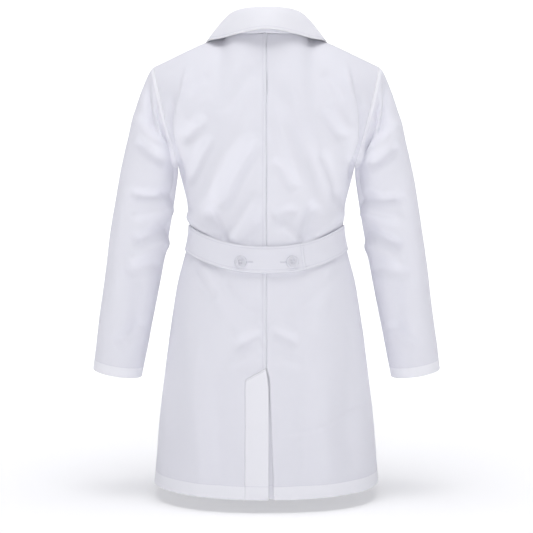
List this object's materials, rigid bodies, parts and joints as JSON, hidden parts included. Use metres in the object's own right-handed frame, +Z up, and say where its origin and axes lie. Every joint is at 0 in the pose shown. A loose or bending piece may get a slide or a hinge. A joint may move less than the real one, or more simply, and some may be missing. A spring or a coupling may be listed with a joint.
{
  "type": "lab coat",
  "caption": "White long-sleeved laboratory coat with turned collar, notched lapels, buttoned half belt at the back, centre back vent and patch pockets.",
  "frame": {"origin": "centre of the neck opening, level with the back neck seam, where a hanger or a wearer's neck holds the coat", "axes": "+Z up, the wearer's front faces +Y and the back, which the picture shows, faces -Y; the wearer's right is +X"},
  "size_m": [0.6766, 0.343, 0.8998],
  "materials": {
    "white_twill": "matte",
    "interlining": "matte",
    "white_button": "satin"
  },
  "bodies": {
    "coat_body": {"back_panel_left": "white_twill", "back_panel_right": "white_twill", "vent_underlap": "white_twill", "front_bodice_left": "white_twill", "front_bodice_right": "white_twill", "bodice_facing_left": "white_twill", "bodice_facing_right": "white_twill", "lapel_left": "white_twill", "lapel_right": "white_twill", "upper_collar": "white_twill", "under_collar": "white_twill", "collar_interlining": "interlining", "back_neck_facing": "white_twill", "belt_strap_left": "white_twill", "belt_strap_right": "white_twill", "belt_button_left": "white_button", "belt_button_right": "white_button", "front_button_1": "white_button", "front_button_2": "white_button", "chest_pocket": "white_twill"},
    "left_sleeve": {"sleeve_left": "white_twill"},
    "right_sleeve": {"sleeve_right": "white_twill"},
    "left_front": {"front_skirt_left": "white_twill", "skirt_facing_left": "white_twill", "lower_pocket_left": "white_twill", "front_button_3": "white_button", "front_button_4": "white_button"},
    "right_front": {"front_skirt_right": "white_twill", "skirt_facing_right": "white_twill", "lower_pocket_right": "white_twill"},
    "vent": {"vent_flap": "white_twill"},
    "loop": {"hanger_loop": "white_twill"}
  },
  "joints": [
    {"name": "left_sleeve_raise", "type": "hinge", "parent": "coat_body", "child": "left_sleeve", "pos_m": [-0.2194, 0, -0.0488], "axis": [0, 1, 0], "range_deg": [0, 75]},
    {"name": "right_sleeve_raise", "type": "hinge", "parent": "coat_body", "child": "right_sleeve", "pos_m": [0.2194, 0, -0.0488], "axis": [0, -1, 0], "range_deg": [0, 75]},
    {"name": "left_front_open", "type": "hinge", "parent": "coat_body", "child": "left_front", "pos_m": [-0.1815, 0, -0.482], "axis": [0.1134, 0, 0.9935], "range_deg": [0, 22]},
    {"name": "right_front_open", "type": "hinge", "parent": "coat_body", "child": "right_front", "pos_m": [0.1815, 0, -0.482], "axis": [0.1134, 0, -0.9935], "range_deg": [0, 22]},
    {"name": "vent_flap_swing", "type": "hinge", "parent": "coat_body", "child": "vent", "pos_m": [-0.038, -0.1626, -0.641], "axis": [0, -0.0787, -0.9969], "range_deg": [0, 50]},
    {"name": "hanger_loop_swing", "type": "hinge", "parent": "coat_body", "child": "loop", "pos_m": [0, -0.0644, -0.005], "axis": [1, 0, 0], "range_deg": [0, 140]}
  ]
}
